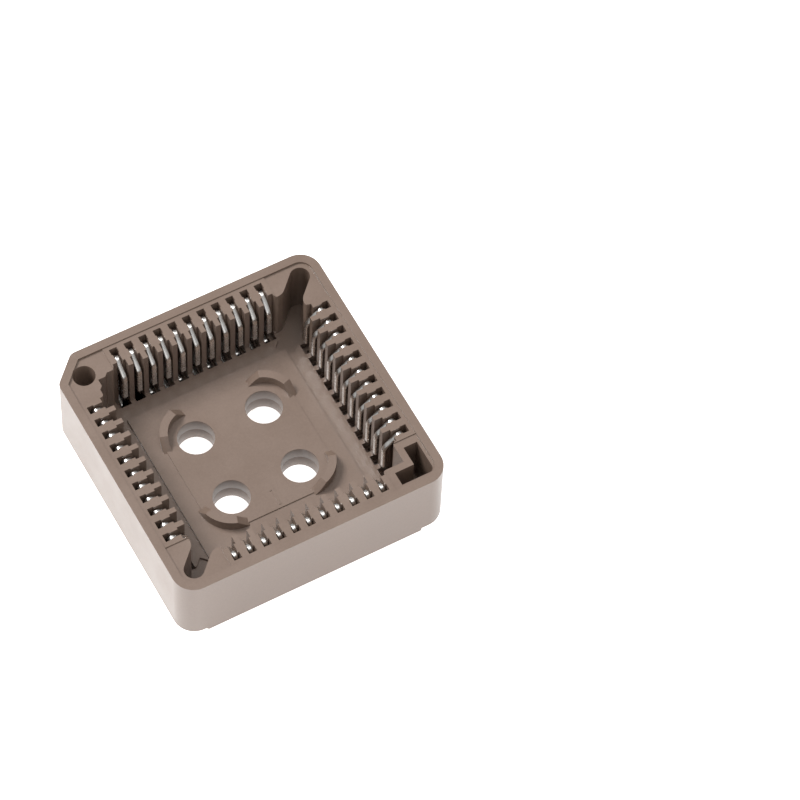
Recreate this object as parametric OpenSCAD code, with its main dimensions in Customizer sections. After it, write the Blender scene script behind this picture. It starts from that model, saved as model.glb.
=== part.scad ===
// Through-hole chip carrier socket: a moulded housing with a square chip cavity,
// a base plate held by the housing's four corner pegs, and four rows of stamped
// spring contacts whose tails stand on a grid of twice the contact pitch.
// Origin: centre of the board seating plane, which the peg ends touch. +Z is up.

/* [Contact rows] */
// Contacts on each side
row_count = 11; // [7:4:15]
// Distance between neighbouring contacts
pitch = 1.27; // [1.2:0.01:1.35]
// From the last contact of a row out to the next side's spring arms
arm_reach = 2.03; // [1.95:0.01:2.15]

/* [Spring contact] */
// Width of the stamped strip
strip_w = 0.43; // [0.36:0.01:0.46]
// Thickness of the stamped strip
strip_t = 0.25; // [0.2:0.01:0.28]
// From the face of the spring arm to the back of the upright leg
hairpin_depth = 1.82; // [1.75:0.01:1.9]
// Radius of the hairpin's top bend, at its outer face
top_bend_r = 0.4; // [0.36:0.01:0.45]
// How far the hairpin's top lies below the rib tops
top_drop = 0.28; // [0.2:0.01:0.6]
// Slope of the lead-in between the top bend and the arm, in degrees from upright
lead_in_angle = 45; // [40:1:50]
// Radius where the lead-in turns into the arm, on the strip's middle line
arm_bend_r = 0.9; // [0.5:0.05:1.2]
// How far the arm's free end stays above the cavity floor
arm_end_gap = 0.8; // [0.5:0.05:1.5]
// Radius of the bends at both ends of the foot, at the strip's inner face
foot_bend_r = 0.15; // [0.1:0.01:0.2]
// Radius of the sideways bends in every second foot, on the strip's middle line
jog_bend_r = 0.35; // [0.3:0.01:0.5]
// Straight part of a jogged foot before its tail
jog_lead = 0.58; // [0.5:0.01:0.7]
// Length of the tails below the base plate
tail_len = 3.75; // [2.8:0.05:4.5]
// Length of the coined taper at a tail's tip
tip_len = 0.3; // [0.2:0.05:0.5]
// Width and thickness left at the tip, as a share of the strip's
tip_share = 0.5; // [0.4:0.05:0.8]

/* [Contact slots] */
// Width of the channel that guides the strip
channel_w = 0.5; // [0.48:0.01:0.56]
// Width of the slot between the ribs' noses
mouth_w = 0.85; // [0.8:0.01:0.92]
// Width of the rear pocket behind the channel
rear_w = 0.66; // [0.6:0.01:0.75]
// Free space behind the upright leg
rear_gap = 0.33; // [0.25:0.01:0.4]
// Length of the rear pocket, from the wall inwards
rear_len = 0.52; // [0.48:0.01:0.6]
// Length of the channel, from the rear pocket inwards
channel_len = 0.77; // [0.6:0.01:0.9]
// How far the spring arms stand out past the ribs' noses
arm_proud = 0.2; // [0.1:0.01:0.25]
// How far the floor openings reach past the spring arms
floor_slot_gap = 0.1; // [0.05:0.01:0.2]
// From the last contact's middle to the corner block beside it
row_end_gap = 0.65; // [0.6:0.01:0.7]

/* [Housing] */
// Outer wall behind the contact pockets
wall_t = 1.04; // [0.9:0.01:1.2]
// Height of the skirt that stands round the base plate's pad
skirt_h = 0.35; // [0.3:0.01:0.45]
// Thickness of the skirt
skirt_t = 0.72; // [0.6:0.01:0.8]
// Thickness of the housing floor
floor_t = 1.2; // [1.1:0.05:1.6]
// Depth of the chip cavity, from the rib tops to the middle of the floor
cavity_depth = 5; // [4.6:0.1:6]
// Width of the raised rim round the top
rim_w = 0.71; // [0.6:0.01:0.75]
// Height of the rim over the rib tops
rim_h = 0.1; // [0.05:0.01:0.2]
// Depth of the corner fields below the rib tops
field_depth = 0.1; // [0.05:0.01:0.2]
// Strip at rib height left beside each row's end slots
end_land = 0.1; // [0.05:0.01:0.15]
// Radius of the three plain outer corners
corner_r = 1.75; // [1.3:0.05:2]
// Length that the index corner's chamfer takes off each side
index_chamfer = 2.1; // [1.8:0.05:2.3]
// Rounding at both ends of the index chamfer
index_soft_r = 0.8; // [0.75:0.05:1.2]
// Chamfer along the top outer edge
edge_break = 0.15; // [0.1:0.01:0.2]

/* [Cavity corners] */
// From the spring arms' face line out to the cavity wall at the corners
corner_relief = 0.47; // [0.4:0.01:0.5]
// Rounding of the corner blocks beside the end slots
block_r = 0.3; // [0.2:0.01:0.35]
// Length that the bevel takes off each side of the cavity's index corner
index_bevel = 1.15; // [0.9:0.05:1.3]
// Width of the two diagonal extraction slots
extract_w = 1.6; // [1.4:0.05:1.7]
// Wall left outside the extraction slots' round ends
extract_wall = 1.07; // [0.95:0.01:1.3]
// Rounding where the extraction slots open into the cavity
extract_r = 1; // [0.8:0.05:1]
// How far the extraction slots go below the cavity floor
extract_drop = 0.6; // [0.5:0.05:0.7]
// Width of the angled pocket in the relieved corner
relief_w = 1.17; // [1:0.01:1.25]
// Outer wall beside the angled pocket
relief_wall = 0.97; // [0.9:0.01:1.1]
// From the last contact's middle to the angled pocket's near end
relief_start = 1.42; // [1.3:0.01:1.6]
// Rounding of the angled pocket's outer corner
relief_r = 0.4; // [0.2:0.05:0.6]
// Diameter of the round hole in the index corner
index_hole_d = 1.8; // [1.6:0.05:1.9]
// From the outer walls to the middle of the index hole
index_hole_inset = 2.17; // [2.1:0.01:2.3]
// Depth of the index hole
index_hole_depth = 4; // [3:0.1:4.5]

/* [Cavity floor] */
// Distance between the middles of the floor's four through holes
hole_spacing = 6; // [5.8:0.05:6.2]
// Diameter of the through holes
hole_d = 3; // [2.8:0.05:3.2]
// Width of the raised panel in the middle of the floor
panel_w = 11.2; // [11:0.05:11.4]
// Step down from the panel to the floor round it
panel_step = 0.1; // [0.05:0.01:0.15]
// Depth below the panel of the outer floor, beside the contact rows
moat_depth = 0.35; // [0.2:0.01:0.45]
// Inner radius of the curved chip supports, about the holes
support_in_r = 2.2; // [2:0.01:2.3]
// Width of the curved chip supports
support_w = 0.65; // [0.5:0.01:0.7]
// Height of the chip supports over the panel
support_h = 0.9; // [0.6:0.05:1.1]
// Half the angle that a support's flat top spans
support_half_angle = 27; // [22:1:32]

/* [Base plate and pegs] */
// Thickness of the base plate's border
plate_t = 0.9; // [0.8:0.05:1.1]
// How far the plate's border stays inside the housing's walls
plate_inset = 0.27; // [0.2:0.01:0.35]
// Length cut off each side at the plate's corners
plate_cut = 2; // [1.8:0.05:2.2]
// Length cut off each side at the corners of the plate's raised pad
pad_cut = 1.5; // [1.3:0.05:1.6]
// Width of the two shallow notches in the plate's rear edge
notch_w = 2.3; // [2:0.05:2.6]
// Depth of the notches
notch_depth = 0.18; // [0.1:0.01:0.25]
// Distance between the notches' middles
notch_spacing = 7.9; // [7:0.1:9]
// Diameter of the corner pegs
peg_d = 2; // [1.8:0.05:2.1]
// From the outer walls to the pegs' middles
peg_inset = 2.57; // [2.5:0.01:2.65]
// How far the pegs stand below the plate
peg_proud = 0.3; // [0.2:0.05:0.5]
// Chamfer at the pegs' ends
peg_chamfer = 0.12; // [0.08:0.01:0.15]

/* [Fits] */
// Gap all round the plate's pad inside the skirt
pad_clear = 0.08; // [0.04:0.01:0.12]
// Gap all round a peg in its hole
peg_clear = 0.03; // [0.02:0.01:0.06]
// Gap on each side of a foot in its groove
groove_clear = 0.05; // [0.03:0.01:0.08]
// Gap over a foot, under the housing floor
foot_clear = 0.03; // [0.02:0.01:0.05]
// Gap round a tail in its hole
tail_clear = 0.06; // [0.04:0.01:0.1]

/* [Hidden] */
$fn = 64;
moulding_colour = [0.59, 0.53, 0.48];
tin_colour = [0.80, 0.79, 0.77];
over = 1;  // how far a cutter runs past an open face
bend_step = 7.5;  // most degrees between the points drawn round a strip's bend
row_half = (row_count - 1) / 2;
row_end = row_half * pitch;
contact_count = 4 * row_count;

// Distances from the middle of the socket, outwards
arm_face = row_end + arm_reach;
arm_mid = arm_face + strip_t / 2;
nose_end = arm_face + arm_proud;
floor_slot_start = arm_face - floor_slot_gap;
leg_back = arm_face + hairpin_depth;
leg_mid = leg_back - strip_t / 2;
rear_end = leg_back + rear_gap;
rear_start = rear_end - rear_len;
channel_start = rear_start - channel_len;
body_half = rear_end + wall_t;
cavity_corner = arm_face + corner_relief;
block_start = row_end + row_end_gap;
peg_at = body_half - peg_inset;
recess_half = body_half - skirt_t;
inner_tails = row_end;
outer_tails = row_end + 2 * pitch;
jog_start = inner_tails + jog_lead + pitch;

// Heights above the board
plate_z = peg_proud;
skirt_z = plate_z + plate_t;
pad_z = skirt_z + skirt_h;
floor_z = pad_z + floor_t;
land_z = floor_z + cavity_depth;
rim_z = land_z + rim_h;
field_z = land_z - field_depth;
foot_z = pad_z - foot_clear - strip_t;
foot_mid_z = foot_z + strip_t / 2;
tip_z = plate_z - tail_len;
arm_end_z = floor_z + arm_end_gap;

// The hairpin: its lead-in meets the leg's line at top_z and the arm's line at kink_z
top_mid_r = top_bend_r - strip_t / 2;
foot_mid_r = foot_bend_r + strip_t / 2;
top_z = land_z - top_drop - top_bend_r + top_mid_r * tan(90 - lead_in_angle / 2);
kink_z = top_z - (leg_mid - arm_mid) / tan(lead_in_angle);

function contact_name(number) = str("contact_", number < 10 ? "0" : "", number);

// ---- Bent strip, drawn as a band along a path of [x, y, bend radius] ----

function heading(path, i) = atan2(path[i + 1][1] - path[i][1], path[i + 1][0] - path[i][0]);
// Turn at point i, left positive, between -180 and 180
function swing(path, i) =
    let (raw = heading(path, i) - heading(path, i - 1))
    raw > 180 ? raw - 360 : raw < -180 ? raw + 360 : raw;
function leftward(angle, distance) = distance * [-sin(angle), cos(angle)];
// The points round bend i, the given distance to the left of the path
function bend_points(path, i, left) =
    let (start = heading(path, i - 1), angle = swing(path, i), radius = sign(angle) * path[i][2],
         setback = path[i][2] * tan(abs(angle) / 2), steps = ceil(abs(angle) / bend_step),
         centre = [path[i][0], path[i][1]] - setback * [cos(start), sin(start)] + leftward(start, radius))
    [for (k = [0:steps]) centre + leftward(start + angle * k / steps, left - radius)];
function edge_points(path, left) =
    let (last = len(path) - 1)
    [[path[0][0], path[0][1]] + leftward(heading(path, 0), left),
     for (i = [1:1:last - 1]) each bend_points(path, i, left),
     [path[last][0], path[last][1]] + leftward(heading(path, last - 1), left)];
function reversed(list) = [for (i = [len(list) - 1:-1:0]) list[i]];

module strip(path, width) {
    polygon(concat(edge_points(path, width / 2), reversed(edge_points(path, -width / 2))));
}

// ---- Placing: side 0 is the rear row; sides and steps run anticlockwise, seen from above ----

module on_side(side) rotate([0, 0, 90 * side]) children();
module each_side() for (side = [0:3]) on_side(side) children();
module at_step(step) translate([-step * pitch, 0, 0]) children();
module each_step() for (step = [-row_half:row_half]) at_step(step) children();
module both_ways() {
    children();
    mirror([1, -1, 0]) children();
}
module both_ends() {
    children();
    mirror([0, 1, 0]) children();
}
module four(at) for (x = [-at, at], y = [-at, at]) translate([x, y, 0]) children();

// Stands a drawing of [distance outwards, height] on edge, as thick as the given width
module upright(width) rotate([90, 0, 90]) linear_extrude(width, center = true) children();
module between(low, high) translate([0, 0, low]) linear_extrude(high - low) children();

// What rounding takes off a solid's corner at the origin, where its edge runs along +X
// and then turns clockwise by the given angle, with the solid on the right
module rounding(angle, r) {
    back = r * tan(angle / 2);
    difference() {
        polygon([[-back, 0], [0, 0], back * [cos(angle), -sin(angle)], [-back, -r]]);
        translate([-back, -r]) circle(r);
    }
}

// ---- Housing ----

// The housing's outline, moved inwards by the given inset; side 1's far corner is the index
module body_outline(inset = 0) {
    half = body_half - inset;
    cut = index_chamfer - inset * (2 - sqrt(2));
    difference() {
        square(2 * half, center = true);
        for (side = [0, 2, 3]) on_side(side) translate([half, half]) rounding(90, corner_r - inset);
        polygon([[-half, half - cut], [cut - half, half], [-half, half]]);
        translate([-half, half - cut]) rotate(90) rounding(45, index_soft_r - inset);
        translate([cut - half, half]) rotate(45) rounding(45, index_soft_r - inset);
    }
}

// The triangle a chamfer takes off an edge at the origin, with the outside on the right
module edge_triangle() {
    polygon([[-edge_break, 0], [0, -edge_break], [over, -edge_break], [over, over], [-edge_break, over]]);
}

module edge_run(from, to) {
    translate([from, body_half, 0]) rotate([90, 0, 90]) linear_extrude(to - from) edge_triangle();
}

module edge_turn(angle, r) {
    rotate_extrude(angle = angle) translate([r, 0]) edge_triangle();
}

module edge_break_cut() {
    plain_end = body_half - corner_r;
    soft_back = index_soft_r * tan(22.5);
    index_end = body_half - index_chamfer - soft_back;
    chamfer_half = index_chamfer / sqrt(2) - soft_back;
    for (side = [2, 3]) on_side(side) edge_run(-plain_end, plain_end);
    edge_run(-index_end, plain_end);
    on_side(1) edge_run(-plain_end, index_end);
    for (side = [0, 2, 3]) on_side(side) translate([plain_end, plain_end, 0]) edge_turn(90, corner_r);
    translate([index_soft_r - body_half, index_end, 0]) rotate([0, 0, 135]) edge_turn(45, index_soft_r);
    translate([-index_end, body_half - index_soft_r, 0]) rotate([0, 0, 90]) edge_turn(45, index_soft_r);
    rotate([0, 0, 45]) translate([0, (2 * body_half - index_chamfer) / sqrt(2) - body_half, 0])
        edge_run(-chamfer_half, chamfer_half);
}

// One contact's slot, which opens into the cavity; each side of its mouth has its own width
module slot(left, right) {
    polygon([[-left, floor_slot_start], [right, floor_slot_start], [right, channel_start],
             [channel_w / 2, channel_start], [channel_w / 2, rear_start],
             [rear_w / 2, rear_start], [rear_w / 2, rear_end],
             [-rear_w / 2, rear_end], [-rear_w / 2, rear_start],
             [-channel_w / 2, rear_start], [-channel_w / 2, channel_start],
             [-left, channel_start]]);
}

module contact_slots() {
    each_side() for (step = [-row_half:row_half]) at_step(step)
        slot(step == row_half ? row_end_gap : mouth_w / 2, step == -row_half ? row_end_gap : mouth_w / 2);
}

// The two corners with extraction slots, and what both their slots and floors take away
module extraction_corner() {
    end = body_half - extract_wall - extract_w / 2;
    translate([block_start, block_start]) square(cavity_corner - block_start);
    translate([end, end]) circle(d = extract_w);
    rotate(45) translate([0, -extract_w / 2]) difference() {
        square([end * sqrt(2), extract_w]);
        square([block_start * sqrt(2), extract_w]);
    }
    both_ways() translate([cavity_corner, cavity_corner - extract_w / sqrt(2)]) rotate(90)
        rounding(45, extract_r);
}

module block_roundings() {
    each_side() both_ways() translate([cavity_corner, block_start]) rotate(180) rounding(90, block_r);
}

module cavity_outline() {
    square(2 * nose_end, center = true);
    difference() {
        union() {
            four((block_start + cavity_corner) / 2) square(cavity_corner - block_start, center = true);
            block_roundings();
        }
        polygon([[-cavity_corner, cavity_corner], [-cavity_corner, cavity_corner - index_bevel],
                 [index_bevel - cavity_corner, cavity_corner]]);
    }
}

// The angled pocket of the relieved corner, drawn in the corner between +X and +Y
module relief_outline() {
    out = body_half - relief_wall;
    start = row_end + relief_start;
    difference() {
        translate([start, start]) square(out - start);
        translate([start - over, start - over]) square(out - relief_w - start + over);
        translate([out, out]) rounding(90, relief_r);
    }
}

module panel_outline() {
    half_spacing = hole_spacing / 2;
    intersection() {
        square(panel_w, center = true);
        union() {
            square([panel_w, hole_spacing], center = true);
            square([hole_spacing, panel_w], center = true);
            four(half_spacing) circle(support_in_r + support_w);
        }
    }
}

// A chip support: an arc about a floor hole, rooted in the floor, whose ends ramp down to it
module chip_support() {
    root = 2 * panel_step;
    sweep = 2 * (support_half_angle + asin((support_h + root) / support_in_r));
    difference() {
        rotate([0, 0, -sweep / 2]) rotate_extrude(angle = sweep)
            translate([support_in_r, -root]) square([support_w, support_h + root]);
        both_ends() translate([0, 0, support_h]) rotate([0, 0, support_half_angle])
            rotate([-45, 0, 0]) cube(4 * support_in_r);
    }
}

// Everything open from the cavity floor up
module cavity() {
    between(floor_z, rim_z + over) cavity_outline();
    between(floor_z - panel_step, land_z) difference() {
        intersection() {
            square(2 * block_start, center = true);
            cavity_outline();
        }
        panel_outline();
    }
    between(floor_z - moat_depth, land_z) difference() {
        cavity_outline();
        square(2 * block_start, center = true);
    }
}

module housing() {
    color(moulding_colour) {
        difference() {
            between(skirt_z, rim_z) body_outline();
            between(skirt_z - over, pad_z) cut_square(recess_half, pad_cut);
            between(land_z, rim_z + over) body_outline(rim_w);
            between(field_z, rim_z) intersection() {
                body_outline(rim_w);
                each_side() translate([block_start + end_land, block_start + end_land]) square(body_half);
            }
            edge_break_cut();
            cavity();
            between(pad_z - over, rim_z + over) contact_slots();
            for (side = [0, 2]) on_side(side)
                between(floor_z - extract_drop, rim_z + over) extraction_corner();
            on_side(3) between(floor_z, rim_z + over) relief_outline();
            translate([index_hole_inset - body_half, body_half - index_hole_inset, land_z - index_hole_depth])
                cylinder(h = index_hole_depth + over, d = index_hole_d);
            between(pad_z - over, floor_z + over) four(hole_spacing / 2) circle(d = hole_d);
        }
        for (side = [0:3]) on_side(side)
            translate([hole_spacing / 2, hole_spacing / 2, floor_z]) rotate([0, 0, 45]) chip_support();
        four(peg_at) {
            between(peg_chamfer, pad_z + over / 2) circle(d = peg_d);
            cylinder(h = peg_chamfer, d1 = peg_d - 2 * peg_chamfer, d2 = peg_d);
        }
    }
}

// ---- Base plate ----

module cut_square(half, cut) {
    near = half - cut;
    polygon([[-half, -near], [-near, -half], [near, -half], [half, -near],
             [half, near], [near, half], [-near, half], [-half, near]]);
}

// The grooves that hold the feet: straight, or jogged to the next step's line
module foot_grooves() {
    width = strip_w + 2 * groove_clear;
    groove_end = leg_back + groove_clear;
    each_side() for (step = [-row_half:row_half]) at_step(step)
        if (step % 2 == 0) strip([[0, groove_end], [0, jog_start, jog_bend_r],
            [-pitch, jog_start - pitch, jog_bend_r], [-pitch, inner_tails]], width);
        else translate([-width / 2, outer_tails]) square([width, groove_end - outer_tails]);
}

// A tail's hole, longer on its outer side to clear the bend above it
module tail_hole() {
    near = strip_t / 2 + tail_clear;
    translate([-strip_w / 2 - tail_clear, -near])
        square([strip_w + 2 * tail_clear, 2 * near + foot_bend_r]);
}

module tail_holes() {
    each_side() for (step = [-row_half:row_half]) at_step(step)
        if (step % 2 == 0) translate([-pitch, inner_tails]) tail_hole();
        else translate([0, outer_tails]) tail_hole();
}

module base_plate() {
    plate_half = body_half - plate_inset;
    color(moulding_colour) difference() {
        union() {
            between(plate_z, skirt_z) cut_square(plate_half, plate_cut);
            between(skirt_z, pad_z) cut_square(recess_half - pad_clear, pad_cut);
        }
        between(plate_z - over, pad_z + over) {
            four(peg_at) circle(d = peg_d + 2 * peg_clear);
            four(hole_spacing / 2) circle(d = hole_d);
            tail_holes();
            for (x = [-notch_spacing / 2, notch_spacing / 2])
                translate([x - notch_w / 2, plate_half - notch_depth]) square([notch_w, over]);
        }
        between(foot_z, pad_z + over) foot_grooves();
    }
}

// ---- Contacts ----

hairpin_path = [[arm_mid, arm_end_z], [arm_mid, kink_z, arm_bend_r], [leg_mid, top_z, top_mid_r],
                [leg_mid, foot_mid_z, foot_mid_r]];

// Takes the taper off both sides of a tail's tip, drawn about the tail's middle line
module tip_wedges(width) {
    for (side = [-1, 1])
        polygon([[side * width * tip_share / 2, tip_z], [side * width / 2, tip_z + tip_len],
                 [side * width, tip_z + tip_len], [side * width, tip_z]]);
}

module tail(at, start) {
    difference() {
        upright(strip_w) difference() {
            children();
            translate([at, 0]) tip_wedges(strip_t);
        }
        translate([0, at, 0]) rotate([90, 0, 0]) linear_extrude(2 * strip_w, center = true)
            tip_wedges(strip_w);
    }
}

module straight_contact() {
    tail(outer_tails) strip(concat(hairpin_path,
        [[outer_tails, foot_mid_z, foot_mid_r], [outer_tails, tip_z]]), strip_t);
}

module jogged_contact() {
    foot_in = jog_start + jog_bend_r;
    foot_out = inner_tails + foot_mid_r;
    lap = 0.05;
    upright(strip_w) strip(concat(hairpin_path, [[foot_in - lap, foot_mid_z]]), strip_t);
    between(foot_z, foot_z + strip_t) strip([[0, foot_in], [0, jog_start, jog_bend_r],
        [-pitch, jog_start - pitch, jog_bend_r], [-pitch, foot_out]], strip_w);
    translate([-pitch, 0, 0]) tail(inner_tails)
        strip([[foot_out + lap, foot_mid_z], [inner_tails, foot_mid_z, foot_mid_r], [inner_tails, tip_z]],
              strip_t);
}

// Numbered anticlockwise from the middle of the rear row
module contact(number) {
    place = number - 1 + row_half;
    step = place % row_count - row_half;
    color(tin_colour) on_side(floor(place / row_count)) at_step(step)
        if (step % 2 == 0) jogged_contact();
        else straight_contact();
}

housing();
base_plate();
for (i = [1:contact_count])
    contact(i);
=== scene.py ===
"""Looks of a through-hole chip carrier socket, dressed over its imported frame."""

import math

import bmesh
import bpy
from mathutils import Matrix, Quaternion, Vector


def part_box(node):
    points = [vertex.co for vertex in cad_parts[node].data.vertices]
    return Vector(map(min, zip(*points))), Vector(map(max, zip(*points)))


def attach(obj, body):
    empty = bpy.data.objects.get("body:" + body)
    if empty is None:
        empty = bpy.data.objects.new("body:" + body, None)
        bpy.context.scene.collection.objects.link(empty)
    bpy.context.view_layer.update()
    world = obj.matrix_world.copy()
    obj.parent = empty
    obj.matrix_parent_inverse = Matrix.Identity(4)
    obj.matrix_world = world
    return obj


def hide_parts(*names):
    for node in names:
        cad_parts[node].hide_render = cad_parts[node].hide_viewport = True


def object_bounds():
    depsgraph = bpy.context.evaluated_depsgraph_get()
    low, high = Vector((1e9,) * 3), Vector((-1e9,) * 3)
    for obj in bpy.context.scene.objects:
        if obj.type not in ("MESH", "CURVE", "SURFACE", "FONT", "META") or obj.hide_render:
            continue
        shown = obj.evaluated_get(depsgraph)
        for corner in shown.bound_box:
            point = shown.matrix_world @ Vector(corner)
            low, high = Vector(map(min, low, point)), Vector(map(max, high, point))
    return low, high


MM = 0.001

# Camera: turned and raised round the aim point, in degrees and millimetres
CAMERA_TURN = -31.548
CAMERA_RISE = 59.231
CAMERA_ROLL = 3.302
CAMERA_DISTANCE = 360.289
CAMERA_AIM = (12.379, -2.039, 4.0)
LENS = 207.0

# Spring contact, in millimetres
STRIP_W = 0.43
STRIP_T = 0.25
TOP_BEND_R = 0.4
ARM_BEND_R = 0.9
FOOT_BEND_R = 0.15
JOG_BEND_R = 0.35
LEAD_IN = 45.0
FOOT_CLEAR = 0.03
JOG_LEAD = 0.58
TIP_LEN = 0.3
TIP_SHARE = 0.5
STRIP_EDGE_R = 0.1
ARM_END = 3.55
ROW_COUNT = 11
BOARD_PITCH = 2.54

# Points of the swept strip: round each bend, and round each long edge
BEND_POINTS = 10
EDGE_POINTS = 3

# Mouldings: edge radii, and how a copy is merged before its edges are rounded
HOUSING_EDGE_R = 0.04
PLATE_EDGE_R = 0.05
EDGE_SEGMENTS = 2
MERGE_DISTANCE = 0.0005
FLAT_ANGLE = 0.5
SHARP_ANGLE = 35.0

# Surfaces: noise scales per metre, and colours from dark to light
PLASTIC_CLOUD, PLASTIC_GRAIN, TIN_CLOUD, FLOOR_CLOUD = 260.0, 5200.0, 1500.0, 8.0
PLASTIC_COLOURS = ((0.163, 0.114, 0.087), (0.198, 0.141, 0.110))
TIN_COLOURS = ((0.70, 0.68, 0.65), (0.86, 0.85, 0.83))
FLOOR_COLOURS = ((0.90, 0.90, 0.90), (0.92, 0.92, 0.92))

# Raised digit on the cavity floor: corners in plan, height, and floor depth below the rim
DIGIT = [(0.07, -3.66), (-0.13, -3.83), (-0.18, -3.98), (0.02, -3.89), (-0.07, -5.3),
         (0.11, -5.32), (0.24, -3.66)]
DIGIT_H = 0.05
FLOOR_DEPTH = 5.1

# Studio: world brightness, and softboxes as name, place, size, power
WORLD_LIGHT = 0.4
FLOOR_GLOW = 0.92
FLOOR_HALF = 1.5
LIGHTS = [("key_light", (-0.3, 0.36, 0.66), 0.3, 6.4),
          ("front_light", (-0.1, -0.65, 0.15), 0.45, 0.5),
          ("top_light", (0.1, -0.1, 0.8), 0.6, 2.2)]

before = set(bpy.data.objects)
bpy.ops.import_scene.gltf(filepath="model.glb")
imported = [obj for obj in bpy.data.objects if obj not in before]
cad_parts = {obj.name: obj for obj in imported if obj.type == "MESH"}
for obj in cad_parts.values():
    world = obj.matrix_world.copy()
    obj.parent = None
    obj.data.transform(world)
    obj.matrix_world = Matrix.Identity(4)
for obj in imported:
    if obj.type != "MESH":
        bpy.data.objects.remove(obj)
CAD_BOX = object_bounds()


# ---- Node tools ----

class Tree:
    """A short way to add nodes and links to a node tree."""

    def __init__(self, nodes_owner):
        self.nodes = nodes_owner.nodes
        self.links = nodes_owner.links

    def add(self, kind, inputs=None, **settings):
        node = self.nodes.new(kind)
        for name, value in settings.items():
            setattr(node, name, value)
        for key, value in (inputs or {}).items():
            socket = node.inputs[key]
            if isinstance(value, bpy.types.NodeSocket):
                self.links.new(value, socket)
            else:
                socket.default_value = value
        return node


def new_material(name):
    material = bpy.data.materials.new(name)
    material.use_nodes = True
    material.node_tree.nodes.clear()
    return material, Tree(material.node_tree)


def ramp(tree, factor, colours):
    """Runs between two colours over the middle of factor's range."""
    node = tree.add("ShaderNodeValToRGB", {"Fac": factor})
    for element, position, colour in zip(node.color_ramp.elements, (0.3, 0.7), colours):
        element.position = position
        element.color = (*colour, 1.0)
    return node.outputs["Color"]


# ---- Materials ----

def moulded_plastic():
    """Warm grey-brown glass-filled moulding: faint clouding, fine fibre grain, soft edges."""
    material, tree = new_material("moulded_plastic")
    place = tree.add("ShaderNodeTexCoord").outputs["Object"]
    cloud = tree.add("ShaderNodeTexNoise", {"Vector": place, "Scale": PLASTIC_CLOUD, "Detail": 4.0,
                                            "Roughness": 0.6})
    grain = tree.add("ShaderNodeTexNoise", {"Vector": place, "Scale": PLASTIC_GRAIN, "Detail": 3.0,
                                            "Roughness": 0.65})
    mixed = tree.add("ShaderNodeMath", {0: cloud.outputs["Fac"], 1: grain.outputs["Fac"]},
                     operation="ADD")
    half = tree.add("ShaderNodeMath", {0: mixed.outputs[0], 1: 0.5}, operation="MULTIPLY")
    colour = ramp(tree, half.outputs[0], PLASTIC_COLOURS)
    rough = tree.add("ShaderNodeMapRange", {"Value": cloud.outputs["Fac"], "From Min": 0.3,
                                            "From Max": 0.7, "To Min": 0.3, "To Max": 0.38})
    bump = tree.add("ShaderNodeBump", {"Height": grain.outputs["Fac"], "Strength": 0.25,
                                       "Distance": 0.00001})
    shader = tree.add("ShaderNodeBsdfPrincipled", {
        "Base Color": colour, "Roughness": rough.outputs["Result"], "Normal": bump.outputs["Normal"],
        "IOR": 1.6})
    tree.add("ShaderNodeOutputMaterial", {"Surface": shader.outputs["BSDF"]})
    return material


def bright_tin():
    """Tin plating over rolled copper strip: bright, with faint clouding in colour and roughness."""
    material, tree = new_material("bright_tin")
    place = tree.add("ShaderNodeTexCoord").outputs["Object"]
    cloud = tree.add("ShaderNodeTexNoise", {"Vector": place, "Scale": TIN_CLOUD, "Detail": 3.0})
    colour = ramp(tree, cloud.outputs["Fac"], TIN_COLOURS)
    rough = tree.add("ShaderNodeMapRange", {"Value": cloud.outputs["Fac"], "From Min": 0.3,
                                            "From Max": 0.7, "To Min": 0.22, "To Max": 0.32})
    shader = tree.add("ShaderNodeBsdfPrincipled", {
        "Base Color": colour, "Metallic": 1.0, "Roughness": rough.outputs["Result"]})
    tree.add("ShaderNodeOutputMaterial", {"Surface": shader.outputs["BSDF"]})
    return material


def pale_floor():
    """A pale table top, lit from within."""
    material, tree = new_material("pale_floor")
    place = tree.add("ShaderNodeTexCoord").outputs["Object"]
    cloud = tree.add("ShaderNodeTexNoise", {"Vector": place, "Scale": FLOOR_CLOUD, "Detail": 2.0})
    colour = ramp(tree, cloud.outputs["Fac"], FLOOR_COLOURS)
    shader = tree.add("ShaderNodeBsdfPrincipled", {"Base Color": colour, "Roughness": 0.6,
                                                   "Emission Color": (1.0, 1.0, 1.0, 1.0),
                                                   "Emission Strength": FLOOR_GLOW})
    tree.add("ShaderNodeOutputMaterial", {"Surface": shader.outputs["BSDF"]})
    return material


# ---- Contacts ----

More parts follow.
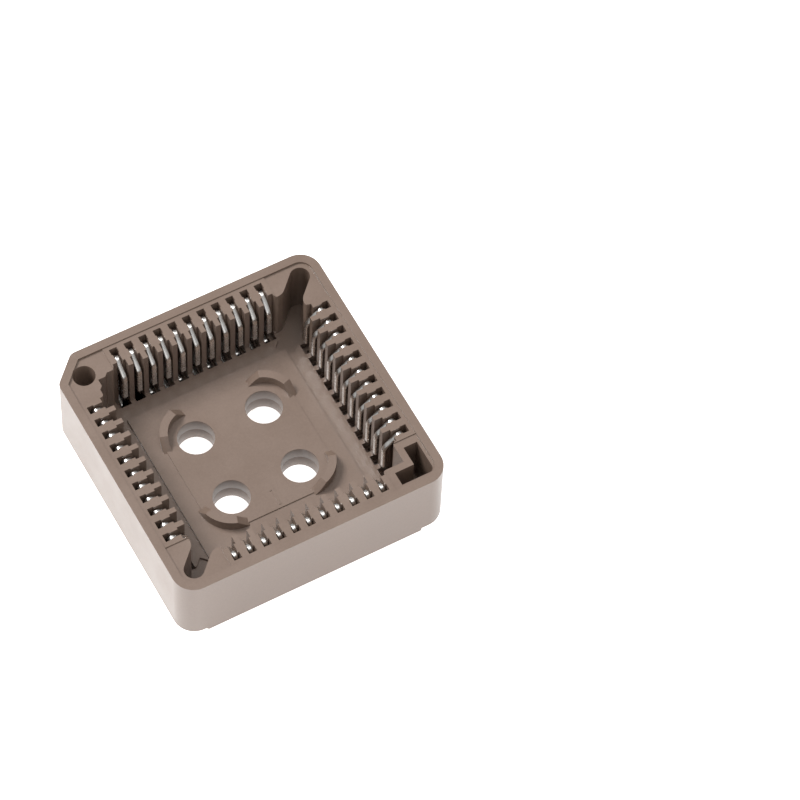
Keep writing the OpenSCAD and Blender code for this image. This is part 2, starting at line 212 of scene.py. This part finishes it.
def contact_paths():
    """Paths of the straight and the jogged contact, and the contacts' pitch.

    Each point is (place, bend radius, section scale), in metres, for a contact that stands in
    the rear row at its middle: +X along the row, +Y outwards."""
    low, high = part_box("contact_02")
    pitch = -(low[0] + high[0]) / 2
    row_end = pitch * (ROW_COUNT - 1) / 2
    half_t = STRIP_T * MM / 2
    arm, leg, tip = low[1] + half_t, high[1] - half_t, low[2]
    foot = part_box("base_plate")[1][2] - FOOT_CLEAR * MM - half_t
    top_r = TOP_BEND_R * MM - half_t
    foot_r = FOOT_BEND_R * MM + half_t
    top = high[2] - TOP_BEND_R * MM + top_r * math.tan(math.radians(90 - LEAD_IN / 2))
    kink = top - (leg - arm) / math.tan(math.radians(LEAD_IN))
    taper = tip + TIP_LEN * MM
    hairpin = [((0, arm, ARM_END * MM), 0, 1), ((0, arm, kink), ARM_BEND_R * MM, 1),
               ((0, leg, top), top_r, 1), ((0, leg, foot), foot_r, 1)]

    def tail(x, y):
        return [((x, y, foot), foot_r, 1), ((x, y, taper), 0, 1), ((x, y, tip), 0, TIP_SHARE)]

    jog = row_end + JOG_LEAD * MM + pitch
    jogged = [((0, jog, foot), JOG_BEND_R * MM, 1), ((-pitch, jog - pitch, foot), JOG_BEND_R * MM, 1)]
    return hairpin + tail(0, row_end + 2 * pitch), hairpin + jogged + tail(-pitch, row_end), pitch


def path_mesh(name, points):
    """A string of edges that carries each point's bend radius and section scale."""
    mesh = bpy.data.meshes.new(name)
    mesh.from_pydata([p for p, _, _ in points], [(i, i + 1) for i in range(len(points) - 1)], [])
    for attribute, column in (("bend", 1), ("section", 2)):
        layer = mesh.attributes.new(attribute, "FLOAT", "POINT")
        layer.data.foreach_set("value", [point[column] for point in points])
    return mesh


def group_input(group, name, kind, value):
    socket = group.interface.new_socket(name, in_out="INPUT", socket_type=kind)
    if value is not None:
        socket.default_value = value


def strip_rows():
    """Sweeps a stamped strip along a path and repeats it over the four rows."""
    group = bpy.data.node_groups.new("strip_rows", "GeometryNodeTree")
    group_input(group, "Path", "NodeSocketGeometry", None)
    for name, value in (("Strip width", STRIP_W * MM), ("Strip thickness", STRIP_T * MM),
                        ("Edge radius", STRIP_EDGE_R * MM), ("Spacing", BOARD_PITCH * MM)):
        group_input(group, name, "NodeSocketFloat", value)
    for name, value in (("Bend points", BEND_POINTS), ("Contacts in a row", ROW_COUNT // 2)):
        group_input(group, name, "NodeSocketInt", value)
    group_input(group, "Material", "NodeSocketMaterial", None)
    group.interface.new_socket("Contacts", in_out="OUTPUT", socket_type="NodeSocketGeometry")
    tree = Tree(group)
    given = tree.add("NodeGroupInput").outputs

    def stored(name):
        node = tree.add("GeometryNodeInputNamedAttribute", {"Name": name}, data_type="FLOAT")
        return node.outputs["Attribute"]

    curve = tree.add("GeometryNodeMeshToCurve", {"Mesh": given["Path"]})
    scaled = tree.add("GeometryNodeSetCurveRadius", {"Curve": curve.outputs[0], "Radius": stored("section")})
    bent = tree.add("GeometryNodeFilletCurve", {"Curve": scaled.outputs[0], "Count": given["Bend points"],
                                                "Radius": stored("bend")}, mode="POLY")
    blank = tree.add("GeometryNodeCurvePrimitiveQuadrilateral",
                     {"Width": given["Strip width"], "Height": given["Strip thickness"]}, mode="RECTANGLE")
    section = tree.add("GeometryNodeFilletCurve", {"Curve": blank.outputs[0], "Count": EDGE_POINTS,
                                                   "Radius": given["Edge radius"]}, mode="POLY")
    scale = tree.add("GeometryNodeInputRadius")
    strip = tree.add("GeometryNodeCurveToMesh", {"Curve": bent.outputs[0],
                                                 "Profile Curve": section.outputs[0],
                                                 "Scale": scale.outputs[0], "Fill Caps": True})

    gaps = tree.add("ShaderNodeMath", {0: given["Contacts in a row"], 1: 1.0}, operation="SUBTRACT")
    start = tree.add("ShaderNodeMath", {0: gaps.outputs[0], 1: -0.5}, operation="MULTIPLY")
    start_x = tree.add("ShaderNodeMath", {0: start.outputs[0], 1: given["Spacing"]}, operation="MULTIPLY")
    row = tree.add("GeometryNodeMeshLine", {
        "Count": given["Contacts in a row"],
        "Start Location": tree.add("ShaderNodeCombineXYZ", {"X": start_x.outputs[0]}).outputs[0],
        "Offset": tree.add("ShaderNodeCombineXYZ", {"X": given["Spacing"]}).outputs[0]})
    in_row = tree.add("GeometryNodeInstanceOnPoints", {"Points": row.outputs[0],
                                                       "Instance": strip.outputs[0]})
    sides = tree.add("GeometryNodeMeshLine", {"Count": 4, "Offset": (0.0, 0.0, 0.0)})
    index = tree.add("GeometryNodeInputIndex").outputs[0]
    angle = tree.add("ShaderNodeMath", {0: index, 1: math.pi / 2}, operation="MULTIPLY")
    turn = tree.add("ShaderNodeCombineXYZ", {"Z": angle.outputs[0]})
    all_rows = tree.add("GeometryNodeInstanceOnPoints", {"Points": sides.outputs[0],
                                                         "Instance": in_row.outputs[0],
                                                         "Rotation": turn.outputs[0]})
    solid = tree.add("GeometryNodeRealizeInstances", {"Geometry": all_rows.outputs[0]})
    smooth = tree.add("GeometryNodeSetShadeSmooth", {"Geometry": solid.outputs[0]})
    coated = tree.add("GeometryNodeSetMaterial", {"Geometry": smooth.outputs[0],
                                                  "Material": given["Material"]})
    tree.add("NodeGroupOutput", {"Contacts": coated.outputs[0]})
    return group


def finished(obj, name):
    """The object's evaluated shape as a plain mesh object of the given name."""
    bpy.context.view_layer.update()
    result = obj.evaluated_get(bpy.context.evaluated_depsgraph_get())
    plain = bpy.data.objects.new(name, bpy.data.meshes.new_from_object(result))
    bpy.context.scene.collection.objects.link(plain)
    bpy.data.objects.remove(obj)
    return plain


def make_contacts(group, name, points, per_row, spacing, material):
    """All contacts of one kind, as one plain mesh object."""
    obj = bpy.data.objects.new(name + "_path", path_mesh(name, points))
    bpy.context.scene.collection.objects.link(obj)
    rows = obj.modifiers.new("rows", "NODES")
    rows.node_group = group
    sockets = {item.name: item.identifier for item in group.interface.items_tree
               if item.in_out == "INPUT"}
    rows[sockets["Contacts in a row"]] = per_row
    rows[sockets["Spacing"]] = spacing
    rows[sockets["Material"]] = material
    flat = obj.modifiers.new("flat_sides", "WEIGHTED_NORMAL")
    flat.keep_sharp = True
    return finished(obj, name)


def contact_names(jogged):
    """Names of the contacts that do or don't have a jogged foot: every second one of each row."""
    half = (ROW_COUNT - 1) // 2
    steps = [(number - 1 + half) % ROW_COUNT - half for number in range(1, 4 * ROW_COUNT + 1)]
    return [f"contact_{number:02d}" for number, step in enumerate(steps, 1)
            if (step % 2 == 0) == jogged]


# ---- Mouldings ----

def softened(node, name, edge, material):
    """A merged copy of a moulding with its sharp edges rounded as a mould leaves them."""
    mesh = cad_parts[node].data.copy()
    build = bmesh.new()
    build.from_mesh(mesh)
    bmesh.ops.remove_doubles(build, verts=build.verts, dist=MERGE_DISTANCE * MM)
    bmesh.ops.dissolve_limit(build, angle_limit=math.radians(FLAT_ANGLE), verts=build.verts,
                             edges=build.edges)
    for face in build.faces:
        face.smooth = True
    build.to_mesh(mesh)
    build.free()
    mesh.materials.clear()
    mesh.materials.append(material)
    obj = bpy.data.objects.new(name + "_sharp", mesh)
    bpy.context.scene.collection.objects.link(obj)
    rounding = obj.modifiers.new("soft_edges", "BEVEL")
    rounding.width = edge * MM
    rounding.segments = EDGE_SEGMENTS
    rounding.limit_method = "ANGLE"
    rounding.angle_limit = math.radians(SHARP_ANGLE)
    rounding.use_clamp_overlap = True
    rounding.miter_outer = "MITER_ARC"
    flat = obj.modifiers.new("flat_walls", "WEIGHTED_NORMAL")
    flat.keep_sharp = True
    return finished(obj, name)


def add_digit(moulding):
    """Stands the digit on the cavity floor of the housing's copy."""
    build = bmesh.new()
    build.from_mesh(moulding.data)
    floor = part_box("housing")[1][2] - FLOOR_DEPTH * MM
    low, high = ([build.verts.new((x * MM, y * MM, z)) for x, y in DIGIT]
                 for z in (floor - DIGIT_H * MM, floor + DIGIT_H * MM))
    build.faces.new(high[::-1])
    build.faces.new(low)
    for i in range(len(DIGIT)):
        build.faces.new((low[i - 1], low[i], high[i], high[i - 1])[::-1])
    bmesh.ops.recalc_face_normals(build, faces=build.faces[-len(DIGIT) - 2:])
    build.to_mesh(moulding.data)
    build.free()


# ---- Scene ----

def make_camera():
    data = bpy.data.cameras.new("camera")
    data.lens = LENS
    data.sensor_width = 36.0
    data.clip_start, data.clip_end = 0.01, 10.0
    camera = bpy.data.objects.new("camera", data)
    turn, rise = math.radians(CAMERA_TURN), math.radians(CAMERA_RISE)
    back = Vector((math.sin(turn) * math.cos(rise), -math.cos(turn) * math.cos(rise), math.sin(rise)))
    camera.location = (Vector(CAMERA_AIM) + back * CAMERA_DISTANCE) * MM
    camera.rotation_mode = "QUATERNION"
    camera.rotation_quaternion = (-back).to_track_quat("-Z", "Y") @ Quaternion(
        (0, 0, 1), math.radians(CAMERA_ROLL))
    bpy.context.scene.collection.objects.link(camera)
    bpy.context.scene.camera = camera


def softbox(name, place, size, power):
    """A square studio light, in metres and watts, that faces the socket."""
    data = bpy.data.lights.new(name, "AREA")
    data.size = size
    data.energy = power
    light = bpy.data.objects.new(name, data)
    light.location = place
    light.rotation_mode = "QUATERNION"
    light.rotation_quaternion = (-Vector(place)).to_track_quat("-Z", "Y")
    bpy.context.scene.collection.objects.link(light)


def make_studio():
    scene = bpy.context.scene
    scene.view_settings.view_transform = "Standard"
    world = bpy.data.worlds.new("studio")
    scene.world = world
    world.use_nodes = True
    world.node_tree.nodes.clear()
    sky = Tree(world.node_tree)
    seen = sky.add("ShaderNodeLightPath").outputs["Is Camera Ray"]
    strength = sky.add("ShaderNodeMapRange", {"Value": seen, "To Min": WORLD_LIGHT,
                                              "To Max": 1.0})
    back = sky.add("ShaderNodeBackground", {"Color": (1.0, 1.0, 1.0, 1.0),
                                            "Strength": strength.outputs["Result"]})
    sky.add("ShaderNodeOutputWorld", {"Surface": back.outputs["Background"]})
    for light in LIGHTS:
        softbox(*light)
    mesh = bpy.data.meshes.new("floor")
    half = FLOOR_HALF
    below = CAD_BOX[0][2]
    mesh.from_pydata([(-half, -half, below), (half, -half, below),
                      (half, half, below), (-half, half, below)], [], [(0, 1, 2, 3)])
    mesh.materials.append(pale_floor())
    floor = bpy.data.objects.new("floor", mesh)
    scene.collection.objects.link(floor)


make_camera()
make_studio()
plastic = moulded_plastic()
tin = bright_tin()

straight_path, jogged_path, contact_pitch = contact_paths()
rows = strip_rows()
for name, points, per_row, jogged in (
        ("straight_contacts", straight_path, ROW_COUNT // 2 + 1, False),
        ("jogged_contacts", jogged_path, ROW_COUNT // 2, True)):
    contacts = make_contacts(rows, name, points, per_row, 2 * contact_pitch, tin)
    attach(contacts, "root")
    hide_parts(*contact_names(jogged))

for node, edge in (("housing", HOUSING_EDGE_R), ("base_plate", PLATE_EDGE_R)):
    moulding = softened(node, "moulded_" + node, edge, plastic)
    if node == "housing":
        add_digit(moulding)
    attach(moulding, "root")
    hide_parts(node)
